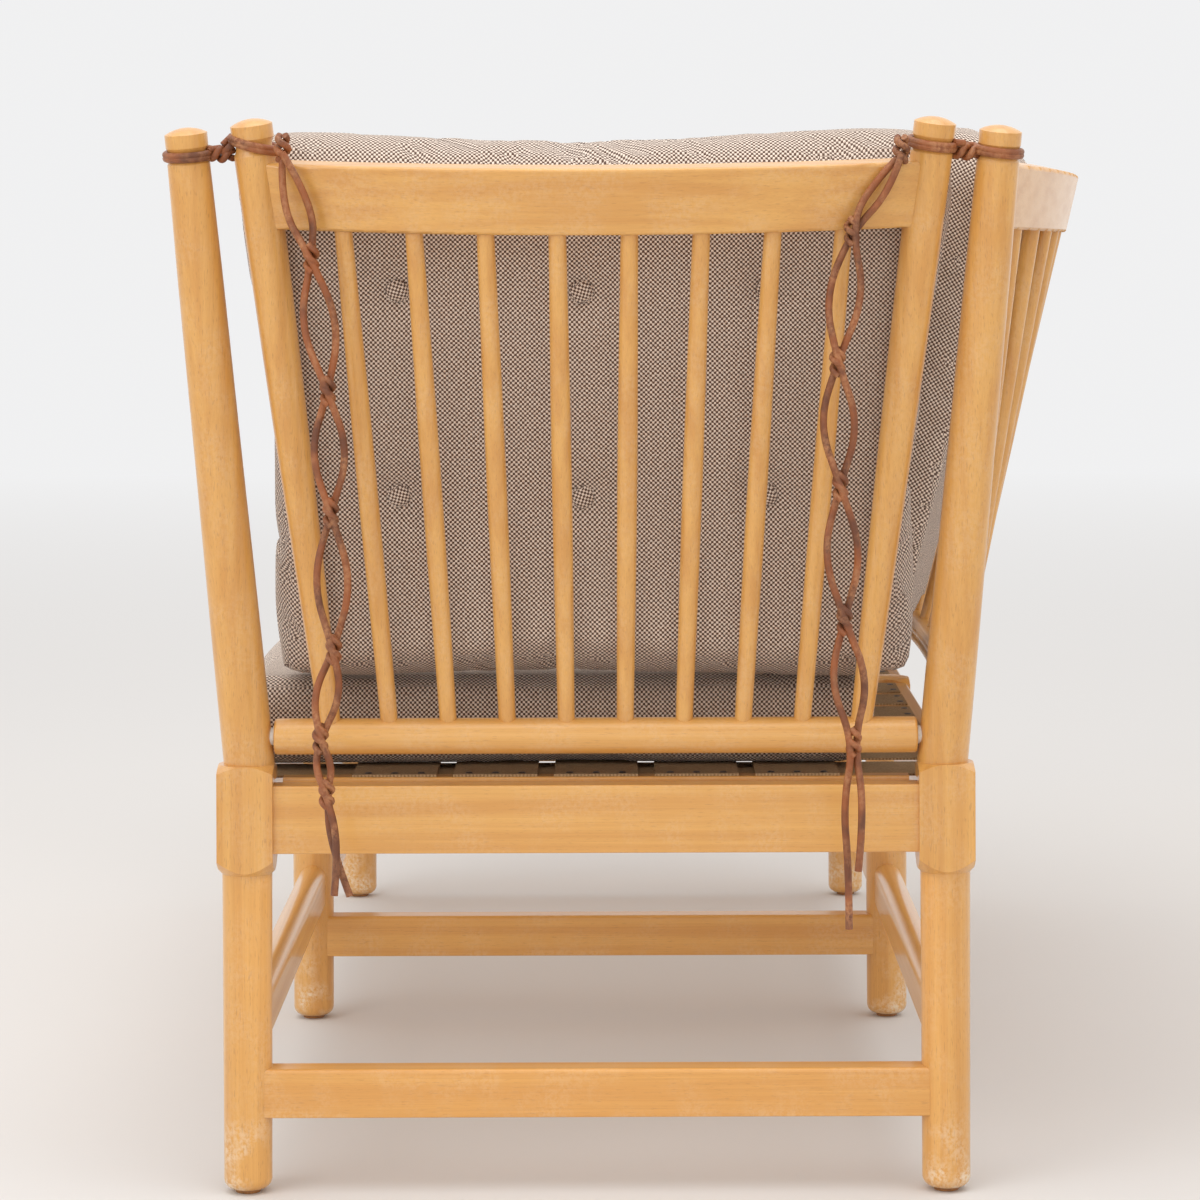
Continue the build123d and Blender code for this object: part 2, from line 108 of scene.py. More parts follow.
class SetteeColours(bpy.types.PropertyGroup):
    """Colours of the finishes, linear."""

    beech: bpy.props.FloatVectorProperty(
        name="Beech", description="Lacquered beech", subtype="COLOR", size=3, default=(0.760, 0.405, 0.108)
    )
    beech_dark: bpy.props.FloatVectorProperty(
        name="Beech figure", description="Darker grain of the beech", subtype="COLOR", size=3,
        default=(0.625, 0.285, 0.062),
    )
    thread_pale: bpy.props.FloatVectorProperty(
        name="Pale thread", description="Off-white yarn of the cover", subtype="COLOR", size=3,
        default=(0.930, 0.780, 0.660),
    )
    thread_dark: bpy.props.FloatVectorProperty(
        name="Dark thread", description="Brown yarn of the cover", subtype="COLOR", size=3,
        default=(0.095, 0.043, 0.022),
    )
    leather: bpy.props.FloatVectorProperty(
        name="Leather", description="Cognac leather of the laces", subtype="COLOR", size=3,
        default=(0.340, 0.095, 0.022),
    )
    jute: bpy.props.FloatVectorProperty(
        name="Jute", description="Jute of the webbing", subtype="COLOR", size=3, default=(0.520, 0.360, 0.200)
    )
    floor: bpy.props.FloatVectorProperty(
        name="Floor", description="Pale studio floor", subtype="COLOR", size=3, default=(0.700, 0.686, 0.674)
    )


def sizes():
    return bpy.context.scene.settee_sizes


def colours():
    return bpy.context.scene.settee_colours


# ---------------------------------------------------------------- node helpers
def new_group(name, inputs, outputs):
    """An empty shader group with its sockets; inputs are (name, type, default)."""
    group = bpy.data.node_groups.new(name, "ShaderNodeTree")
    for label, kind, default in inputs:
        socket = group.interface.new_socket(label, in_out="INPUT", socket_type=kind)
        if default is not None:
            socket.default_value = default
    for label, kind in outputs:
        group.interface.new_socket(label, in_out="OUTPUT", socket_type=kind)
    return group, group.nodes.new("NodeGroupInput"), group.nodes.new("NodeGroupOutput")


def add(tree, kind, **settings):
    """A node of a kind; a setting named by an input's name or number fills that input."""
    node = tree.nodes.new(kind)
    for key, value in settings.items():
        if hasattr(node, key):
            setattr(node, key, value)
        else:
            node.inputs[key.replace("_", " ")].default_value = value
    return node


def maths(tree, operation, first, second=None, third=None):
    """A Math node's output; each term is a socket or a number."""
    node = tree.nodes.new("ShaderNodeMath")
    node.operation = operation
    for index, term in enumerate((first, second, third)):
        if term is None:
            continue
        if isinstance(term, (int, float)):
            node.inputs[index].default_value = term
        else:
            tree.links.new(term, node.inputs[index])
    return node.outputs[0]


def mix_colour(tree, share, first, second, blend="MIX"):
    """A colour Mix node's output; each colour is a socket or an RGB triple."""
    node = tree.nodes.new("ShaderNodeMix")
    node.data_type = "RGBA"
    node.blend_type = blend
    for slot_index, term in ((0, share), (6, first), (7, second)):
        if isinstance(term, (int, float)):
            node.inputs[slot_index].default_value = term
        elif isinstance(term, tuple) or hasattr(term, "r"):
            node.inputs[slot_index].default_value = (*term, 1.0)
        else:
            tree.links.new(term, node.inputs[slot_index])
    return node.outputs[2]


def window(tree, value, low, high):
    """A value rescaled so that low gives 0 and high gives 1, clamped."""
    node = tree.nodes.new("ShaderNodeMapRange")
    node.inputs["From Min"].default_value = low
    node.inputs["From Max"].default_value = high
    tree.links.new(value, node.inputs["Value"])
    return node.outputs["Result"]


def noise_at(tree, vector, scale, detail=2.0, roughness=0.5):
    """A noise texture's value at a vector."""
    node = tree.nodes.new("ShaderNodeTexNoise")
    node.inputs["Scale"].default_value = scale
    node.inputs["Detail"].default_value = detail
    node.inputs["Roughness"].default_value = roughness
    tree.links.new(vector, node.inputs["Vector"])
    return node.outputs[0]


def stretched(tree, vector, scale):
    """A vector scaled per axis."""
    node = tree.nodes.new("ShaderNodeMapping")
    node.vector_type = "POINT"
    node.inputs["Scale"].default_value = scale
    tree.links.new(vector, node.inputs["Vector"])
    return node.outputs[0]


def bump_from(tree, height, distance, strength=1.0):
    """A Bump node's normal from a height."""
    node = tree.nodes.new("ShaderNodeBump")
    node.inputs["Distance"].default_value = distance
    node.inputs["Strength"].default_value = strength
    tree.links.new(height, node.inputs["Height"])
    return node.outputs[0]


def new_material(name):
    """A material with its Principled shader, ready for links."""
    material = bpy.data.materials.new(name)
    material.use_nodes = True
    tree = material.node_tree
    return material, tree, tree.nodes["Principled BSDF"]


def place_group(tree, group, **values):
    """A group placed in a material, with its own input values."""
    node = tree.nodes.new("ShaderNodeGroup")
    node.node_tree = group
    for key, value in values.items():
        node.inputs[key.replace("_", " ")].default_value = value
    return node


# ---------------------------------------------------------------- shared effects
def beech_group():
    """Straight beech figure along the input's Z: soft growth bands, fine fibres and short dark ray flecks."""
    group, given, result = new_group(
        "Beech figure",
        [
            ("Along", "NodeSocketVector", None),
            ("Light", "NodeSocketColor", None),
            ("Dark", "NodeSocketColor", None),
            ("Fleck", "NodeSocketFloat", 0.5),
        ],
        [("Color", "NodeSocketColor"), ("Height", "NodeSocketFloat"), ("Gloss", "NodeSocketFloat")],
    )
    along = given.outputs["Along"]
    drift = noise_at(group, stretched(group, along, (3.0, 3.0, 0.7)), 2.0, 2.0)
    bands = noise_at(group, stretched(group, along, (85.0, 85.0, 1.3)), 1.0, 4.0, 0.55)
    fibres = noise_at(group, stretched(group, along, (900.0, 900.0, 14.0)), 1.0, 2.0, 0.6)
    flecks = noise_at(group, stretched(group, along, (900.0, 900.0, 130.0)), 1.0, 1.0, 0.4)
    fleck_mask = window(group, flecks, 0.62, 0.74)
    slow_tone = maths(group, "MULTIPLY", drift, 0.28)
    tone = maths(group, "MULTIPLY_ADD", window(group, bands, 0.40, 0.64), 0.62, slow_tone)
    body = mix_colour(group, tone, given.outputs["Light"], given.outputs["Dark"])
    fibre_share = maths(group, "MULTIPLY", window(group, fibres, 0.35, 0.7), 0.16)
    shaded = mix_colour(group, fibre_share, body, (0.42, 0.19, 0.05))
    strength = maths(group, "MULTIPLY", fleck_mask, given.outputs["Fleck"])
    flecked = mix_colour(group, strength, shaded, (0.36, 0.16, 0.05))
    group.links.new(flecked, result.inputs["Color"])
    sunk = maths(group, "MULTIPLY", fleck_mask, 0.4)
    height = maths(group, "SUBTRACT", maths(group, "MULTIPLY", fibres, 0.5), sunk)
    group.links.new(height, result.inputs["Height"])
    group.links.new(window(group, bands, 0.3, 0.8), result.inputs["Gloss"])
    return group


def weave_group():
    """Two-tone hopsack: pale floats on a dark ground, staggered row by row, with uneven yarn."""
    group, given, result = new_group(
        "Hopsack weave",
        [
            ("Cloth", "NodeSocketVector", None),
            ("Repeat", "NodeSocketFloat", 0.0039),
            ("Pale", "NodeSocketColor", None),
            ("Dark", "NodeSocketColor", None),
        ],
        [("Color", "NodeSocketColor"), ("Height", "NodeSocketFloat")],
    )
    wander = add(group, "ShaderNodeTexNoise")
    wander.inputs["Scale"].default_value = 60.0
    group.links.new(given.outputs["Cloth"], wander.inputs["Vector"])
    offset = add(group, "ShaderNodeVectorMath", operation="MULTIPLY_ADD")
    group.links.new(wander.outputs["Color"], offset.inputs[0])
    offset.inputs[1].default_value = (0.0014, 0.0014, 0.0)
    group.links.new(given.outputs["Cloth"], offset.inputs[2])
    split = add(group, "ShaderNodeSeparateXYZ")
    group.links.new(offset.outputs[0], split.inputs[0])
    turn = maths(group, "DIVIDE", 2 * math.pi, given.outputs["Repeat"])
    across = maths(group, "COSINE", maths(group, "MULTIPLY", split.outputs[0], turn))
    up = maths(group, "COSINE", maths(group, "MULTIPLY", split.outputs[1], turn))
    lattice = maths(group, "MULTIPLY", across, up)
    uneven = noise_at(group, given.outputs["Cloth"], 420.0, 1.0)
    thread = maths(group, "MULTIPLY_ADD", uneven, 0.5, maths(group, "SUBTRACT", lattice, 0.25))
    pale_mask = window(group, thread, -0.06, 0.14)
    slub = noise_at(group, given.outputs["Cloth"], 900.0, 2.0)
    pale = mix_colour(group, maths(group, "MULTIPLY", slub, 0.25), given.outputs["Pale"], (0.62, 0.50, 0.40))
    colour = mix_colour(group, pale_mask, given.outputs["Dark"], pale)
    group.links.new(colour, result.inputs["Color"])
    group.links.new(maths(group, "ABSOLUTE", lattice), result.inputs["Height"])
    return group


def worn_group():
    """A worn mask: soft blotches broken by fine grit, for scuffs and rubbed places."""
    group, given, result = new_group(
        "Worn places",
        [
            ("Place", "NodeSocketVector", None),
            ("Blotch", "NodeSocketFloat", 18.0),
            ("Amount", "NodeSocketFloat", 0.5),
        ],
        [("Mask", "NodeSocketFloat")],
    )
    blotch = add(group, "ShaderNodeTexNoise")
    group.links.new(given.outputs["Place"], blotch.inputs["Vector"])
    group.links.new(given.outputs["Blotch"], blotch.inputs["Scale"])
    grit = noise_at(group, given.outputs["Place"], 260.0, 3.0, 0.7)
    blotches = window(group, blotch.outputs[0], 0.42, 0.62)
    both = maths(group, "MULTIPLY", blotches, window(group, grit, 0.38, 0.6))
    group.links.new(maths(group, "MULTIPLY", both, given.outputs["Amount"]), result.inputs["Mask"])
    return group


def shared(name, builder):
    """The shared group of that name, built on first use."""
    return bpy.data.node_groups.get(name) or builder()


# ---------------------------------------------------------------- materials
GRAIN_TURN = {"x": (0, math.radians(90), 0), "y": (math.radians(90), 0, 0), "z": (0, 0, 0)}


def beech_material(axis, turned):
    """Lacquered beech with its grain along an axis; turned work shows more flecks and scuffed feet."""
    name = f"Beech {axis}{' turned' if turned else ''}"
    found = bpy.data.materials.get(name)
    if found:
        return found
    material, tree, shader = new_material(name)
    place = add(tree, "ShaderNodeTexCoord").outputs["Object"]
    aligned = add(tree, "ShaderNodeMapping")
    aligned.inputs["Rotation"].default_value = GRAIN_TURN[axis]
    tree.links.new(place, aligned.inputs["Vector"])
    figure = place_group(
        tree, shared("Beech figure", beech_group), Light=(*colours().beech, 1), Dark=(*colours().beech_dark, 1),
        Fleck=0.34 if turned else 0.24,
    )
    tree.links.new(aligned.outputs[0], figure.inputs["Along"])
    height_here = add(tree, "ShaderNodeSeparateXYZ")
    tree.links.new(place, height_here.inputs[0])
    worn = place_group(tree, shared("Worn places", worn_group), Blotch=26.0, Amount=1.0)
    tree.links.new(place, worn.inputs["Place"])
    foot = maths(tree, "SUBTRACT", 1.0, window(tree, height_here.outputs[2], 0.012, 0.07))
    scuff = maths(tree, "MULTIPLY", worn.outputs["Mask"], maths(tree, "MULTIPLY_ADD", foot, 0.75, 0.10))
    colour = mix_colour(tree, scuff, figure.outputs["Color"], (0.83, 0.70, 0.52))
    tree.links.new(colour, shader.inputs["Base Color"])
    rough = maths(tree, "MULTIPLY_ADD", figure.outputs["Gloss"], 0.10, 0.30)
    tree.links.new(maths(tree, "MULTIPLY_ADD", scuff, 0.25, rough), shader.inputs["Roughness"])
    tree.links.new(bump_from(tree, figure.outputs["Height"], 0.00008, 0.5), shader.inputs["Normal"])
    shader.inputs["Coat Weight"].default_value = 0.5
    shader.inputs["Coat Roughness"].default_value = 0.16
    return material


def cover_material():
    """The cushions' two-tone woven cover, on the piece's own UV map in metres."""
    found = bpy.data.materials.get("Woven cover")
    if found:
        return found
    material, tree, shader = new_material("Woven cover")
    cloth = add(tree, "ShaderNodeUVMap", uv_map="cloth").outputs[0]
    weave = place_group(
        tree, shared("Hopsack weave", weave_group), Repeat=sizes().weave, Pale=(*colours().thread_pale, 1),
        Dark=(*colours().thread_dark, 1),
    )
    tree.links.new(cloth, weave.inputs["Cloth"])
    place = add(tree, "ShaderNodeTexCoord").outputs["Object"]
    shade = window(tree, noise_at(tree, place, 5.0, 3.0), 0.3, 0.7)
    colour = mix_colour(tree, maths(tree, "MULTIPLY", shade, 0.10), weave.outputs["Color"], (0.42, 0.33, 0.26))
    tree.links.new(colour, shader.inputs["Base Color"])
    tree.links.new(bump_from(tree, weave.outputs["Height"], 0.0006, 0.7), shader.inputs["Normal"])
    shader.inputs["Roughness"].default_value = 0.92
    shader.inputs["Sheen Weight"].default_value = 0.25
    shader.inputs["Sheen Roughness"].default_value = 0.6
    shader.inputs["Specular IOR Level"].default_value = 0.25
    return material


def leather_material():
    """Oiled cognac leather with creases, darker worn stretches and paler raw edges."""
    found = bpy.data.materials.get("Lace leather")
    if found:
        return found
    material, tree, shader = new_material("Lace leather")
    place = add(tree, "ShaderNodeTexCoord").outputs["Object"]
    patches = noise_at(tree, place, 28.0, 3.0, 0.6)
    grain = add(tree, "ShaderNodeTexVoronoi", feature="DISTANCE_TO_EDGE")
    grain.inputs["Scale"].default_value = 1300.0
    tree.links.new(place, grain.inputs["Vector"])
    worn = place_group(tree, shared("Worn places", worn_group), Blotch=45.0, Amount=0.8)
    tree.links.new(place, worn.inputs["Place"])
    base = mix_colour(tree, window(tree, patches, 0.40, 0.62), colours().leather, (0.150, 0.045, 0.016))
    rubbed = mix_colour(tree, worn.outputs["Mask"], base, (0.50, 0.22, 0.09))
    tree.links.new(rubbed, shader.inputs["Base Color"])
    creases = window(tree, grain.outputs["Distance"], 0.0, 0.12)
    tree.links.new(bump_from(tree, creases, 0.00025, 0.6), shader.inputs["Normal"])
    tree.links.new(maths(tree, "MULTIPLY_ADD", patches, 0.35, 0.30), shader.inputs["Roughness"])
    shader.inputs["Coat Weight"].default_value = 0.15
    shader.inputs["Coat Roughness"].default_value = 0.35
    return material


def jute_material():
    """Coarse plain-woven jute, worked out on the bands' own length and width."""
    found = bpy.data.materials.get("Jute webbing")
    if found:
        return found
    material, tree, shader = new_material("Jute webbing")
    place = add(tree, "ShaderNodeTexCoord").outputs["Object"]
    split = add(tree, "ShaderNodeSeparateXYZ")
    tree.links.new(place, split.inputs[0])
    along = maths(tree, "SINE", maths(tree, "MULTIPLY", split.outputs[0], 2 * math.pi / 0.0042))
    across = maths(tree, "SINE", maths(tree, "MULTIPLY", split.outputs[1], 2 * math.pi / 0.0030))
    threads = maths(tree, "MULTIPLY", along, across)
    fibre = noise_at(tree, place, 500.0, 3.0, 0.7)
    tone = maths(tree, "MULTIPLY_ADD", threads, 0.3, maths(tree, "MULTIPLY", fibre, 0.9))
    colour = mix_colour(tree, window(tree, tone, 0.2, 0.8), (0.24, 0.15, 0.07), colours().jute)
    tree.links.new(colour, shader.inputs["Base Color"])
    tree.links.new(bump_from(tree, tone, 0.0008, 0.8), shader.inputs["Normal"])
    shader.inputs["Roughness"].default_value = 0.95
    return material


def plain_material(name, colour, roughness, metallic, mottle):
    """A small fitting's material: one colour, lightly mottled, with matching roughness."""
    found = bpy.data.materials.get(name)
    if found:
        return found
    material, tree, shader = new_material(name)
    place = add(tree, "ShaderNodeTexCoord").outputs["Object"]
    cloud = noise_at(tree, place, 240.0, 3.0)
    darker = tuple(channel * (1 - mottle) for channel in colour)
    mottled = mix_colour(tree, window(tree, cloud, 0.35, 0.65), colour, darker)
    tree.links.new(mottled, shader.inputs["Base Color"])
    tree.links.new(maths(tree, "MULTIPLY_ADD", cloud, 0.2, roughness - 0.1), shader.inputs["Roughness"])
    shader.inputs["Metallic"].default_value = metallic
    return material


def finish_nodes(names, material):
    """Gives a material to CAD nodes."""
    for name in names:
        node = frame["nodes"][name]
        node.data.materials.clear()
        node.data.materials.append(material)


# ---------------------------------------------------------------- mesh helpers
def link_mesh(name, bm, material, smooth=True):
    """A mesh object from a bmesh, in the scene, with one material."""
    mesh = bpy.data.meshes.new(name)
    bm.to_mesh(mesh)
    bm.free()
    if smooth:
        mesh.shade_smooth()
    mesh.materials.append(material)
    obj = bpy.data.objects.new(name, mesh)
    bpy.context.scene.collection.objects.link(obj)
    return obj


def apply_modifiers(obj):
    """Bakes an object's modifiers into its mesh."""
    graph = bpy.context.evaluated_depsgraph_get()
    mesh = bpy.data.meshes.new_from_object(obj.evaluated_get(graph), depsgraph=graph)
    old = obj.data
    obj.modifiers.clear()
    obj.data = mesh
    bpy.data.meshes.remove(old)


def bevel_edges(bm, edges, width, segments):
    bmesh.ops.bevel(
        bm, geom=list(edges), offset=width, segments=segments, profile=0.5, affect="EDGES", material=-1,
        clamp_overlap=True,
    )


def settle(obj, rest, cap):
    """Draws each point of a swollen piece back to within cap of where it started."""
    for vertex, start in zip(obj.data.vertices, rest):
        move = vertex.co - start
        if move.length > cap:
            vertex.co = start + move * (cap / move.length)


def swell(obj, voxel, cap):
    """Remeshes a closed piece and inflates it as cloth, then caps how far it has moved."""
    remesh = obj.modifiers.new("Cells", "REMESH")
    remesh.mode = "VOXEL"
    remesh.voxel_size = voxel
    apply_modifiers(obj)
    rest = [vertex.co.copy() for vertex in obj.data.vertices]
    cloth = obj.modifiers.new("Cloth", "CLOTH")
    cloth.settings.quality = 3
    cloth.settings.use_pressure = True
    cloth.settings.uniform_pressure_force = 4.0
    cloth.settings.effector_weights.gravity = 0.0
    cloth.point_cache.frame_start = 1
    cloth.point_cache.frame_end = 12
    scene = bpy.context.scene
    for step in range(1, 13):
        scene.frame_set(step)
    graph = bpy.context.evaluated_depsgraph_get()
    swollen = obj.evaluated_get(graph).to_mesh()
    places = [vertex.co.copy() for vertex in swollen.vertices]
    obj.evaluated_get(graph).to_mesh_clear()
    obj.modifiers.clear()
    scene.frame_set(1)
    for vertex, place in zip(obj.data.vertices, places):
        vertex.co = place
    settle(obj, rest, cap)


def map_cloth(obj, turn):
    """Lays the cloth on each face along its own plane, in metres, in the cushion's own directions."""
    back = turn.inverted()
    layer = obj.data.uv_layers.new(name="cloth")
    for face in obj.data.polygons:
        normal = back @ face.normal
        axis = max(range(3), key=lambda index: abs(normal[index]))
        across, up = ((1, 2), (0, 2), (1, 0))[axis]
        for loop in face.loop_indices:
            place = back @ obj.data.vertices[obj.data.loops[loop].vertex_index].co
            layer.data[loop].uv = (place[across], place[up])
    obj.data.shade_smooth()


def cushion_block(low_half, high_half, height, thick):
    """A tapered upright block with rounded top corners: outer face at x = 0, across y, bottom at z = 0."""
    bm = bmesh.new()
    bmesh.ops.create_cube(bm, size=1.0)
    for vertex in bm.verts:
        top = vertex.co.z > 0
        half = high_half if top else low_half
        vertex.co = Vector(
            (-thick / 2 + vertex.co.x * thick, math.copysign(half, vertex.co.y), height if top else -0.030)
        )
    corners = [edge for edge in bm.edges if all(vertex.co.z > 0 for vertex in edge.verts)]
    corners = [edge for edge in corners if abs(edge.verts[0].co.y - edge.verts[1].co.y) < 0.001]
    bevel_edges(bm, corners, 0.036, 4)
    bevel_edges(bm, [edge for edge in bm.edges if edge.calc_face_angle() > 0.9], 0.024, 3)
    return bm


def dimple(obj, place, buttons, depth, reach, thick):
    """Draws the cover in round each button, on both faces, with a soft falloff."""
    back = place.inverted()
    for vertex in obj.data.vertices:
        local = back @ vertex.co
        pull = 0.0
        for across, up in buttons:
            gap = math.hypot(local.y - across, local.z - up)
            if gap < reach * 2.2:
                pull += math.exp(-((gap / reach) ** 2) * 2.0)
        if pull > 0:
            inward = -1.0 if local.x > -thick / 2 else 1.0
            local.x += inward * depth * min(pull, 1.0)
            vertex.co = place @ local


def seat_depth(obj, place, button, thick, outer):
    """How far out of the cushion's own plane the cover lies under a button."""
    back = place.inverted()
    depths = []
    for vertex in obj.data.vertices:
        local = back @ vertex.co
        if (local.x > -thick / 2) == outer and math.hypot(local.y - button[0], local.z - button[1]) < 0.011:
            depths.append(local.x)
    return sum(depths) / len(depths)


def ripple(obj, amount, scale, seed):
    """Small uneven swells, as in a used cushion."""
    shift = Vector((seed, seed, seed))
    normals = [vertex.normal.copy() for vertex in obj.data.vertices]
    for vertex, normal in zip(obj.data.vertices, normals):
        vertex.co += normal * noise.noise(vertex.co * scale + shift) * amount


def make_cushion(name, body, place, low_half, high_half, height, thick, buttons, limit, seed):
    """A buttoned cushion in place of its CAD block: swelled, kept off its neighbours, dimpled and mapped."""
    bm = cushion_block(low_half, high_half, height, thick)
    bmesh.ops.transform(bm, matrix=place, verts=bm.verts)
    cut = bmesh.ops.bisect_plane(
        bm, geom=bm.verts[:] + bm.edges[:] + bm.faces[:], dist=0.0001, plane_co=(0, 0, SEAT_TOP + 0.002),
        plane_no=(0, 0, -1), clear_outer=True,
    )
    rim = [item for item in cut["geom_cut"] if isinstance(item, bmesh.types.BMEdge)]
    bmesh.ops.contextual_create(bm, geom=rim)
    bmesh.ops.recalc_face_normals(bm, faces=bm.faces)
    obj = link_mesh(name, bm, cover_material())
    swell(obj, sizes().voxel, sizes().puff)
    ripple(obj, 0.003, 7.0, seed)
    back = place.inverted()
    for vertex in obj.data.vertices:
        local = back @ vertex.co
        local.x = min(local.x, limit(local))
        vertex.co = place @ local
        vertex.co.z = max(vertex.co.z, SEAT_TOP + 0.0008)
    dimple(obj, place, buttons, 0.013, 0.026, thick)
    for button in buttons:
        for outward in (1, -1):
            depth = seat_depth(obj, place, button, thick, outward > 0) + outward * BUTTON_PROUD
            turn = Matrix.Rotation(outward * math.radians(90), 4, "Y")
            BUTTON_SEATS[name].append(place @ Matrix.Translation((depth, *button)) @ turn)
    map_cloth(obj, place.to_3x3())
    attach(obj, body)
    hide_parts(name)
    return obj


def button_places(columns, pitch, centre, rows):
    return [(centre + (index - (columns - 1) / 2) * pitch, up) for up in rows for index in range(columns)]


ARM_BUTTONS = button_places(3, 0.152, -0.010, (0.154, 0.326))
BACK_BUTTONS = button_places(3, 0.170, 0.0, (0.165, 0.330))
# A button's outline as (radius, height), and the place of each button, filled in as the cushions are made.
BUTTON_PROUD = 0.0012
BUTTON_OUTLINE = [(0.0, 0.0052), (0.004, 0.0048), (0.0078, 0.0032), (0.0100, 0.0006), (0.0092, -0.0030)]
BUTTON_SEATS = {name: [] for name in ("arm_cushion", "end_cushion", "back_cushion_drop", "back_cushion_fixed")}


def arm_place():
    lean = Matrix.Rotation(sizes().arm_lean, 4, "Y")
    return Matrix.Translation(PIVOT) @ lean @ Matrix.Translation((-0.022, 0, 0.044))


def end_place():
    start = Matrix.Translation((2 * CENTRE_X - PIVOT.x, PIVOT.y, PIVOT.z))
    lean = Matrix.Rotation(-sizes().arm_lean, 4, "Y")
    return start @ lean @ Matrix.Translation((0.019, 0, 0.044)) @ Matrix.Rotation(math.pi, 4, "Z")


def back_place(side):
    start = Matrix.Translation((CENTRE_X + side * 0.296, PIVOT.y + 0.2895, SEAT_TOP))
    yaw = Matrix.Rotation(math.radians(90) - side * sizes().back_yaw, 4, "Z")
    return start @ yaw @ Matrix.Rotation(sizes().back_lean, 4, "Y")


def make_button_set(name, body, cushions):
    """Covered buttons: a domed disc spun from its outline, one in each seat of each cushion."""
    bm = bmesh.new()
    for cushion in cushions:
        for seat in BUTTON_SEATS[cushion]:
            piece = bmesh.new()
            verts = [piece.verts.new((radius, 0, height)) for radius, height in BUTTON_OUTLINE]
            edges = [piece.edges.new(pair) for pair in zip(verts, verts[1:])]
            bmesh.ops.spin(
                piece, geom=verts + edges, cent=(0, 0, 0), axis=(0, 0, 1), angle=2 * math.pi, steps=20,
                use_merge=True,
            )
            bmesh.ops.remove_doubles(piece, verts=piece.verts, dist=0.00001)
            bmesh.ops.holes_fill(piece, edges=[edge for edge in piece.edges if edge.is_boundary], sides=0)
            bmesh.ops.recalc_face_normals(piece, faces=piece.faces)
            bmesh.ops.transform(piece, matrix=seat, verts=piece.verts)
            mesh = bpy.data.meshes.new("button")
            piece.to_mesh(mesh)
            piece.free()
            bm.from_mesh(mesh)
            bpy.data.meshes.remove(mesh)
    obj = link_mesh(name, bm, cover_material())
    map_cloth(obj, BUTTON_SEATS[cushions[0]][0].to_3x3() @ Matrix.Rotation(0.5, 3, "Z"))
    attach(obj, body)
    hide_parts(name)
    return obj


# ---------------------------------------------------------------- pieces
class SETTEE_OT_timber(bpy.types.Operator):
    """Gives the turned posts, rails, stretchers and spindles their lacquered beech"""

    bl_idname = "settee.timber"
    bl_label = "Timber"

    def execute(self, context):
        for name in frame["nodes"]:
            if "post" in name or "leg" in name:
                finish_nodes([name], beech_material("z", True))
            elif "spindles" in name:
                finish_nodes([name], beech_material("z", False))
            elif name.startswith(("side_", "front_rail", "back_rail", "back_crest", "back_bottom")):
                finish_nodes([name], beech_material("x", False))
            elif "rail" in name or "cross_stretcher" in name or "batten" in name:
                finish_nodes([name], beech_material("y", False))
        return {"FINISHED"}


class SETTEE_OT_fittings(bpy.types.Operator):
    """Finishes the foot glides, pivot bushes, pivot pins and webbing tacks"""

    bl_idname = "settee.fittings"
    bl_label = "Small fittings"

    def execute(self, context):
        finish_nodes(["foot_glides"], plain_material("Glide", (0.400, 0.170, 0.050), 0.3, 0.0, 0.3))
        finish_nodes(["pivot_bushes"], plain_material("Bush", (0.780, 0.740, 0.660), 0.5, 0.0, 0.15))
        finish_nodes(["pivot_pins"], plain_material("Pivot steel", (0.560, 0.560, 0.560), 0.35, 1.0, 0.15))
        finish_nodes(["webbing_tacks"], plain_material("Blued steel", (0.200, 0.190, 0.180), 0.45, 1.0, 0.3))
        return {"FINISHED"}


class SETTEE_OT_webbing(bpy.types.Operator):
    """Finishes the jute webbing bands"""

    bl_idname = "settee.webbing"
    bl_label = "Webbing"

    def execute(self, context):
        finish_nodes(["webbing_long", "webbing_cross"], jute_material())
        return {"FINISHED"}


class SETTEE_OT_mattress(bpy.types.Operator):
    """Makes the boxed seat mattress"""

    bl_idname = "settee.mattress"
    bl_label = "Seat mattress"

    def execute(self, context):
        size = SEAT_HIGH - SEAT_LOW
        bm = bmesh.new()
        bmesh.ops.create_cube(bm, size=1.0)
        middle = (SEAT_HIGH + SEAT_LOW) / 2
        shrunk = Matrix.Diagonal((size.x - 0.020, size.y - 0.020, size.z - 0.016, 1))
        bmesh.ops.transform(bm, matrix=Matrix.Translation(middle) @ shrunk, verts=bm.verts)
        bevel_edges(bm, bm.edges, 0.012, 3)
        obj = link_mesh("seat_mattress", bm, cover_material())
        swell(obj, sizes().voxel * 1.2, 0.012)
        ripple(obj, 0.003, 6.0, 3.0)
        for vertex in obj.data.vertices:
            vertex.co.z = max(vertex.co.z, SEAT_LOW.z + 0.0005)
            vertex.co.z = min(vertex.co.z, SEAT_TOP)
            vertex.co.x = max(min(vertex.co.x, SEAT_HIGH.x), SEAT_LOW.x)
        map_cloth(obj, Matrix.Identity(3))
        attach(obj, "frame")
        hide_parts("seat_mattress")
        return {"FINISHED"}


class SETTEE_OT_arm_cushion(bpy.types.Operator):
    """Makes the buttoned cushion that leans on the drop arm"""

    bl_idname = "settee.arm_cushion"
    bl_label = "Arm cushion"

    def execute(self, context):
        def limit(local):
            return 0.004 + 0.010 * max(0.0, 1 - abs(local.y) / 0.2)

        make_cushion(
            "arm_cushion", "drop_arm", arm_place(), 0.264, 0.300, 0.456, 0.084, ARM_BUTTONS, limit, 1.0
        )
        return {"FINISHED"}


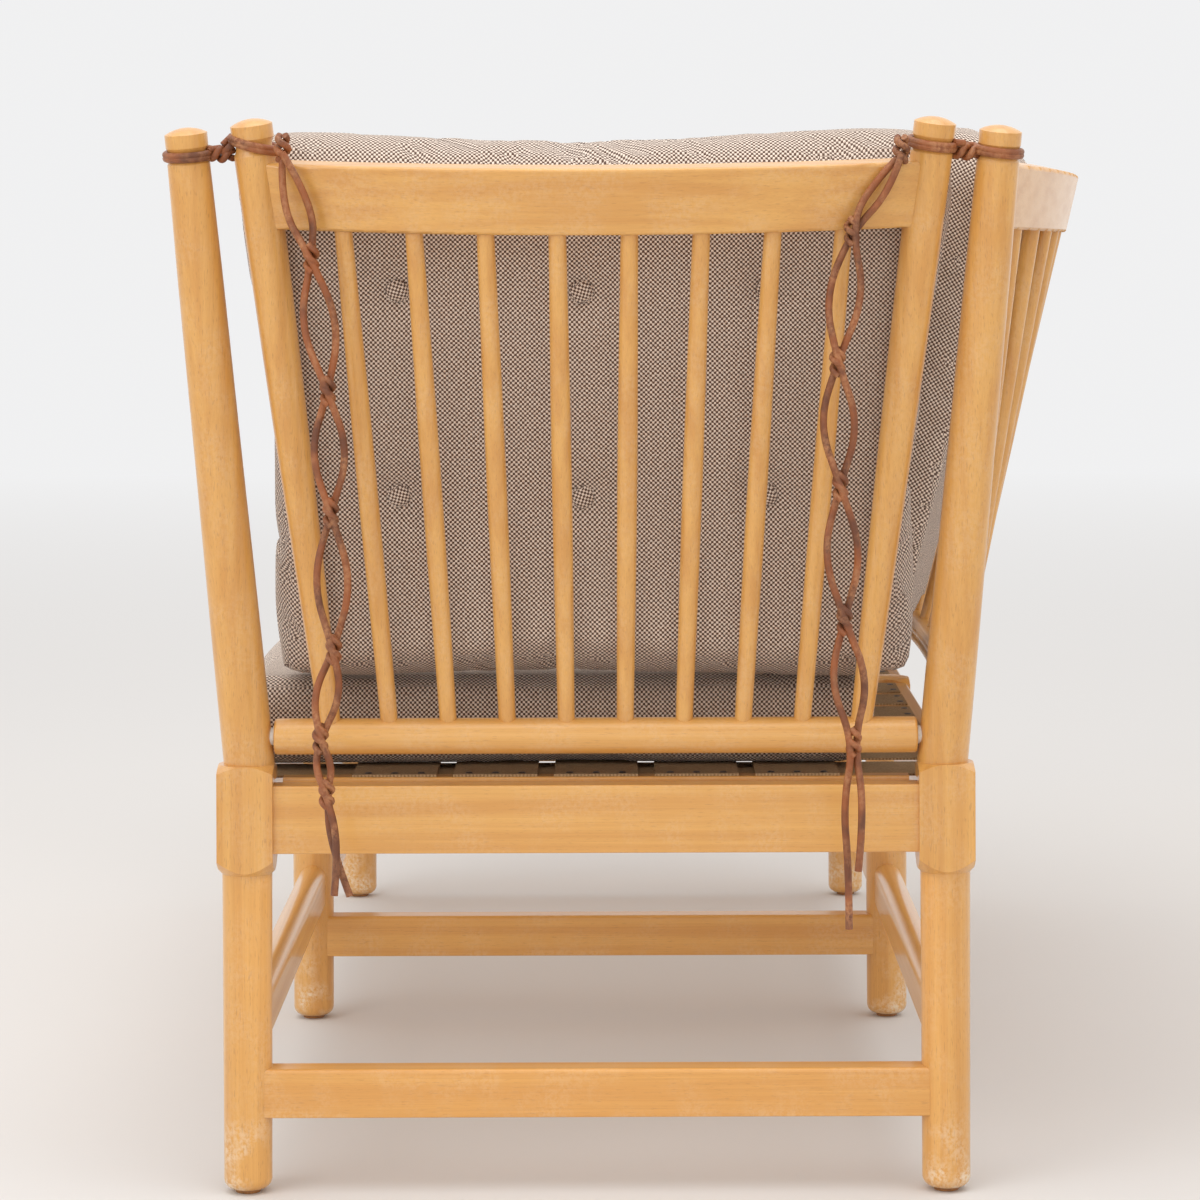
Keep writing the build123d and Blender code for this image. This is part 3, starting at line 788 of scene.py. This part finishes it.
class SETTEE_OT_end_cushion(bpy.types.Operator):
    """Makes the matching cushion at the fixed end"""

    bl_idname = "settee.end_cushion"
    bl_label = "End cushion"

    def execute(self, context):
        make_cushion(
            "end_cushion", "frame", end_place(), 0.262, 0.302, 0.456, 0.084, ARM_BUTTONS,
            lambda local: 0.003, 2.0,
        )
        return {"FINISHED"}


class SETTEE_OT_back_cushions(bpy.types.Operator):
    """Makes the two wide cushions along the back"""

    bl_idname = "settee.back_cushions"
    bl_label = "Back cushions"

    def execute(self, context):
        for name, side in (("back_cushion_drop", 1), ("back_cushion_fixed", -1)):
            make_cushion(
                name, "frame", back_place(side), 0.270, 0.270, 0.466, 0.094, BACK_BUTTONS, lambda local: 0.0,
                4.0 + side,
            )
        return {"FINISHED"}


class SETTEE_OT_buttons(bpy.types.Operator):
    """Makes the covered buttons of all the cushions"""

    bl_idname = "settee.buttons"
    bl_label = "Buttons"

    def execute(self, context):
        make_button_set("arm_cushion_buttons", "drop_arm", ["arm_cushion"])
        make_button_set("cushion_buttons", "frame", ["end_cushion", "back_cushion_drop", "back_cushion_fixed"])
        return {"FINISHED"}


# ---------------------------------------------------------------- laces
# The laces hang in one upright plane outside the arm; at a crossing each stands CROSS_GAP off that plane.
LACE_PLANE = PIVOT.x + 0.09602
CROSS_GAP = 0.0042
EYE_HALF = 0.0165
TWIST_RADIUS = 0.0042
TWIST_LENGTH = 0.022
TWIST_START = 0.8
TWIST_THIN = 0.86
TURN_THIN = 0.95
TURN_RADIUS = 0.0190
HEAD_RADIUS = 0.0172
GROOVE_DEPTH = 0.02235
UPRIGHT = Matrix.Identity(3)
LYING = Matrix.Rotation(math.radians(90), 3, "X")
# Lean of each head's axis, outward and away from the middle, per unit of height.
POST_LEANS = {"loop": (0.1318, 0.0826), "ring": (0.1405, 0.1145)}
FRONT_CROSSINGS = [
    (-0.250, 0.861), (-0.227, 0.776), (-0.214, 0.669), (-0.212, 0.571), (-0.210, 0.461), (-0.221, 0.389),
    (-0.216, 0.345),
]
BACK_CROSSINGS = [
    (0.248, 0.858), (0.208, 0.796), (0.196, 0.691), (0.198, 0.591), (0.201, 0.483), (0.208, 0.385),
]
FRONT_TAILS = [[(-0.206, 0.305), (-0.210, 0.264)], [(-0.214, 0.304), (-0.198, 0.262)]]
BACK_TAILS = [[(0.2165, 0.334), (0.211, 0.282)], [(0.1995, 0.334), (0.204, 0.282), (0.204, 0.234)]]


def thong_route(crossings, tail, lead):
    """One thong's way: before or behind the other at each crossing, and on one side of each eye."""
    points = []
    for index, (y, z) in enumerate(crossings):
        front = lead if index % 2 == 0 else -lead
        points.append(Vector((LACE_PLANE + front * CROSS_GAP, y, z)))
        if index + 1 < len(crossings):
            next_y, next_z = crossings[index + 1]
            half_eye = min(EYE_HALF, (z - next_z) * 0.165) * (lead if index % 2 == 0 else -lead)
            points.append(Vector((LACE_PLANE + 0.0004 * lead, (y + next_y) / 2 + half_eye, (z + next_z) / 2)))
    points += [Vector((LACE_PLANE + CROSS_GAP * lead, y, z)) for y, z in tail]
    return [point + Vector((0, PIVOT.y, 0)) for point in points]


def thong_curve(name, points, radius):
    """A thong as one smooth spline with a round section."""
    curve = bpy.data.curves.new(name, "CURVE")
    curve.dimensions = "3D"
    curve.bevel_depth = radius
    curve.bevel_resolution = 4
    curve.resolution_u = 10
    spline = curve.splines.new("NURBS")
    spline.points.add(len(points) - 1)
    for point, place in zip(spline.points, points):
        point.co = (*place, 1)
    spline.order_u = 3
    spline.use_endpoint_u = True
    curve.use_fill_caps = True
    obj = bpy.data.objects.new(name, curve)
    bpy.context.scene.collection.objects.link(obj)
    curve.materials.append(leather_material())
    return obj


def thong_mesh(name, routes, radius):
    """Several thongs made into one mesh; each route is a list of points."""
    bm = bmesh.new()
    graph = bpy.context.evaluated_depsgraph_get()
    for points in routes:
        piece = thong_curve(name, points, radius)
        graph.update()
        mesh = bpy.data.meshes.new_from_object(piece.evaluated_get(graph), depsgraph=graph)
        bm.from_mesh(mesh)
        bpy.data.meshes.remove(mesh)
        curve = piece.data
        bpy.data.objects.remove(piece)
        bpy.data.curves.remove(curve)
    bmesh.ops.recalc_face_normals(bm, faces=bm.faces)
    return link_mesh(name, bm, leather_material())


def crossing_twist(centre, radius, length, phase, turn):
    """One thong's short turn round the other where they cross; turn lays its length along another way."""
    points = []
    for step in range(9):
        t = step / 8
        angle = phase + 2 * math.pi * t * 1.15
        pinch = radius * (0.75 + 0.45 * math.sin(math.pi * t))
        local = Vector((pinch * math.cos(angle), pinch * math.sin(angle), (0.5 - t) * length))
        points.append(centre + turn @ local)
    return points


def post_turns(centre, axis, radius, away, reach, rise, slope):
    """Two turns of thong round a post head; both ends lead off on the side opposite to away."""
    outward = away.cross(axis).normalized()
    inward = axis.cross(outward).normalized()
    points = [centre - inward * reach - axis * rise + outward * 0.002]
    for step in range(25):
        angle = math.radians(-200 + 760 * step / 24)
        round_post = outward * math.sin(angle) + inward * math.cos(angle)
        lift = rise * (step / 12 - 1) - slope * radius * math.cos(angle)
        points.append(centre + round_post * radius + axis * lift)
    points.append(centre - inward * reach + axis * rise - outward * 0.002)
    return points


class SETTEE_OT_lace_ends(bpy.types.Operator):
    """Hangs the four twisted thong ends outside the arm, with a short turn at each crossing"""

    bl_idname = "settee.lace_ends"
    bl_label = "Lace ends"

    def execute(self, context):
        radius = sizes().thong / 2
        for face, crossings, tails in (
            ("front", FRONT_CROSSINGS, FRONT_TAILS),
            ("back", BACK_CROSSINGS, BACK_TAILS),
        ):
            for letter, lead, tail in (("a", 1, tails[0]), ("b", -1, tails[1])):
                points = thong_route(crossings, tail, lead)
                name = f"lace_{face}_{letter}"
                obj = thong_curve(name, points, radius)
                phase = TWIST_START + lead * math.pi / 2
                twists = []
                for y, z in crossings[1:]:
                    centre = Vector((LACE_PLANE, y + PIVOT.y, z))
                    twists.append(crossing_twist(centre, TWIST_RADIUS, TWIST_LENGTH, phase, UPRIGHT))
                turns = thong_mesh(f"lace_twists_{face}_{letter}", twists, radius * TWIST_THIN)
                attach(obj, "drop_arm")
                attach(turns, "drop_arm")
                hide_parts(name)
        return {"FINISHED"}


class SETTEE_OT_lace_turns(bpy.types.Operator):
    """Makes the turns of thong round the post heads and the twists between them"""

    bl_idname = "settee.lace_turns"
    bl_label = "Lace turns"

    def execute(self, context):
        radius = sizes().thong / 2
        for face, side, slope in (("front", -1, 0.34), ("back", 1, 0.0)):
            for stem, body, reach, tie in (("loop", "frame", 0.027, 1), ("ring", "drop_arm", 0.026, -1)):
                name = f"lace_{stem}_{face}"
                post = "corner_post_drop" if stem == "loop" else "drop_arm_post"
                low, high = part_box(f"{post}_{face}")
                head_y = high.y - HEAD_RADIUS if side > 0 else low.y + HEAD_RADIUS
                head = Vector((high.x - HEAD_RADIUS, head_y, high.z))
                lean = POST_LEANS[stem]
                axis = Vector((lean[0], side * lean[1], 1.0)).normalized()
                centre = head - axis * GROOVE_DEPTH
                tilt = slope if stem == "ring" else 0.0
                away = Vector((0, side * tie, 0))
                route = post_turns(centre, axis, TURN_RADIUS, away, reach, radius * 1.05, tilt)
                routes = [route]
                if stem == "loop":
                    middle = centre + Vector((0.004, -side * tie * reach, 0))
                else:
                    first = FRONT_CROSSINGS[0] if side < 0 else BACK_CROSSINGS[0]
                    middle = Vector((LACE_PLANE - 0.002, first[0] + PIVOT.y, first[1] + 0.004))
                way = LYING if stem == "loop" else UPRIGHT
                for phase in (TWIST_START, TWIST_START + math.pi):
                    routes.append(crossing_twist(middle, TWIST_RADIUS, 0.020, phase, way))
                obj = thong_mesh(name, routes, radius * TURN_THIN)
                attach(obj, body)
                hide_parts(name)
        return {"FINISHED"}


# ---------------------------------------------------------------- stage
# The plain background's colour, linear; the far floor fades to it.
BACKGROUND = (0.875, 0.875, 0.880)


def floor_material():
    """Pale floor that fades into the plain background as it runs away behind the settee."""
    material, tree, shader = new_material("Studio floor")
    place = add(tree, "ShaderNodeTexCoord").outputs["Object"]
    cloud = noise_at(tree, place, 1.2, 2.0)
    floor = tuple(colours().floor)
    warm = (floor[0], floor[1] * 0.992, floor[2] * 0.984)
    split = add(tree, "ShaderNodeSeparateXYZ")
    tree.links.new(place, split.inputs[0])
    far = window(tree, split.outputs[0], -1.2, -8.0)
    near_colour = mix_colour(tree, cloud, floor, warm)
    tree.links.new(mix_colour(tree, far, near_colour, (0.0, 0.0, 0.0)), shader.inputs["Base Color"])
    tree.links.new(far, shader.inputs["Emission Strength"])
    shader.inputs["Emission Color"].default_value = (*BACKGROUND, 1)
    shader.inputs["Roughness"].default_value = 0.8
    shader.inputs["Specular IOR Level"].default_value = 0.0
    return material


def soft_light(name, place, aim, size, power, colour=(1, 1, 1)):
    """A large soft lamp aimed at a point."""
    lamp = bpy.data.lights.new(name, "AREA")
    lamp.shape = "RECTANGLE"
    lamp.size = size[0]
    lamp.size_y = size[1]
    lamp.energy = power
    lamp.color = colour
    obj = bpy.data.objects.new(name, lamp)
    bpy.context.scene.collection.objects.link(obj)
    obj.location = place
    obj.rotation_euler = (Vector(aim) - Vector(place)).to_track_quat("-Z", "Y").to_euler()
    return obj


class SETTEE_OT_stage(bpy.types.Operator):
    """Sets the floor, the soft light and the camera"""

    bl_idname = "settee.stage"
    bl_label = "Stage"

    def execute(self, context):
        bm = bmesh.new()
        bmesh.ops.create_grid(bm, x_segments=1, y_segments=1, size=14.0)
        link_mesh("floor", bm, floor_material(), smooth=False)

        world = bpy.data.worlds.new("Studio")
        world.use_nodes = True
        tree = world.node_tree
        seen = tree.nodes["Background"]
        seen.inputs["Color"].default_value = (*BACKGROUND, 1)
        light = add(tree, "ShaderNodeBackground")
        light.inputs["Color"].default_value = (1.0, 0.985, 0.97, 1)
        light.inputs["Strength"].default_value = 1.0
        path = add(tree, "ShaderNodeLightPath")
        blend = add(tree, "ShaderNodeMixShader")
        tree.links.new(path.outputs["Is Camera Ray"], blend.inputs[0])
        tree.links.new(light.outputs[0], blend.inputs[1])
        tree.links.new(seen.outputs[0], blend.inputs[2])
        tree.links.new(blend.outputs[0], tree.nodes["World Output"].inputs["Surface"])
        context.scene.world = world
        context.scene.view_settings.view_transform = "Standard"

        aim = (0.2, PIVOT.y, 0.45)
        soft_light("Key", (3.0, -2.6, 2.6), aim, (2.0, 2.4), 27)
        soft_light("Overhead", (0.6, 0.1, 3.4), aim, (3.0, 3.0), 40)
        soft_light("Front fill", (4.6, -0.4, 1.0), aim, (3.6, 1.8), 8, (1.0, 0.97, 0.94))
        under, below = (0.15, PIVOT.y, 0.262), (0.15, PIVOT.y, 0.0)
        glow = soft_light("Under glow", under, below, (0.56, 1.7), 1.3, (1.0, 0.93, 0.87))
        glow.rotation_euler = (0, 0, math.radians(90))
        glow.visible_camera = False
        glow.visible_glossy = False

        camera = bpy.data.cameras.new("View")
        camera.sensor_width = 36.0
        camera.lens = 111.33
        camera.shift_x = -0.01206
        camera.shift_y = -0.31683
        camera.clip_end = 60.0
        obj = bpy.data.objects.new("View", camera)
        context.scene.collection.objects.link(obj)
        obj.location = (sizes().view_distance, sizes().view_side, sizes().view_height)
        level = Matrix.Rotation(math.radians(90), 3, "Z") @ Matrix.Rotation(math.radians(90), 3, "X")
        obj.rotation_euler = (level @ Matrix.Rotation(math.radians(-0.2), 3, "Z")).to_euler()
        context.scene.camera = obj
        return {"FINISHED"}


class SETTEE_PT_panel(bpy.types.Panel):
    """Lists the settee's settings and its pieces"""

    bl_idname = "SETTEE_PT_panel"
    bl_label = "Drop-Arm Settee"
    bl_space_type = "VIEW_3D"
    bl_region_type = "UI"
    bl_category = "Settee"

    def draw(self, context):
        for settings in (context.scene.settee_sizes, context.scene.settee_colours):
            for key in type(settings).__annotations__:
                self.layout.prop(settings, key)
        for piece in PIECES:
            self.layout.operator(piece.bl_idname)


PIECES = (
    SETTEE_OT_timber,
    SETTEE_OT_fittings,
    SETTEE_OT_webbing,
    SETTEE_OT_mattress,
    SETTEE_OT_arm_cushion,
    SETTEE_OT_end_cushion,
    SETTEE_OT_back_cushions,
    SETTEE_OT_buttons,
    SETTEE_OT_lace_turns,
    SETTEE_OT_lace_ends,
    SETTEE_OT_stage,
)


def register():
    for group in (SetteeSizes, SetteeColours):
        bpy.utils.register_class(group)
    bpy.types.Scene.settee_sizes = bpy.props.PointerProperty(type=SetteeSizes)
    bpy.types.Scene.settee_colours = bpy.props.PointerProperty(type=SetteeColours)
    for piece in PIECES:
        bpy.utils.register_class(piece)
    bpy.utils.register_class(SETTEE_PT_panel)


def unregister():
    bpy.utils.unregister_class(SETTEE_PT_panel)
    for piece in reversed(PIECES):
        bpy.utils.unregister_class(piece)
    del bpy.types.Scene.settee_colours
    del bpy.types.Scene.settee_sizes
    for group in (SetteeColours, SetteeSizes):
        bpy.utils.unregister_class(group)


def main():
    register()
    for piece in PIECES:
        getattr(bpy.ops.settee, piece.bl_idname.split(".")[1])()


if __name__ == "__main__":
    main()
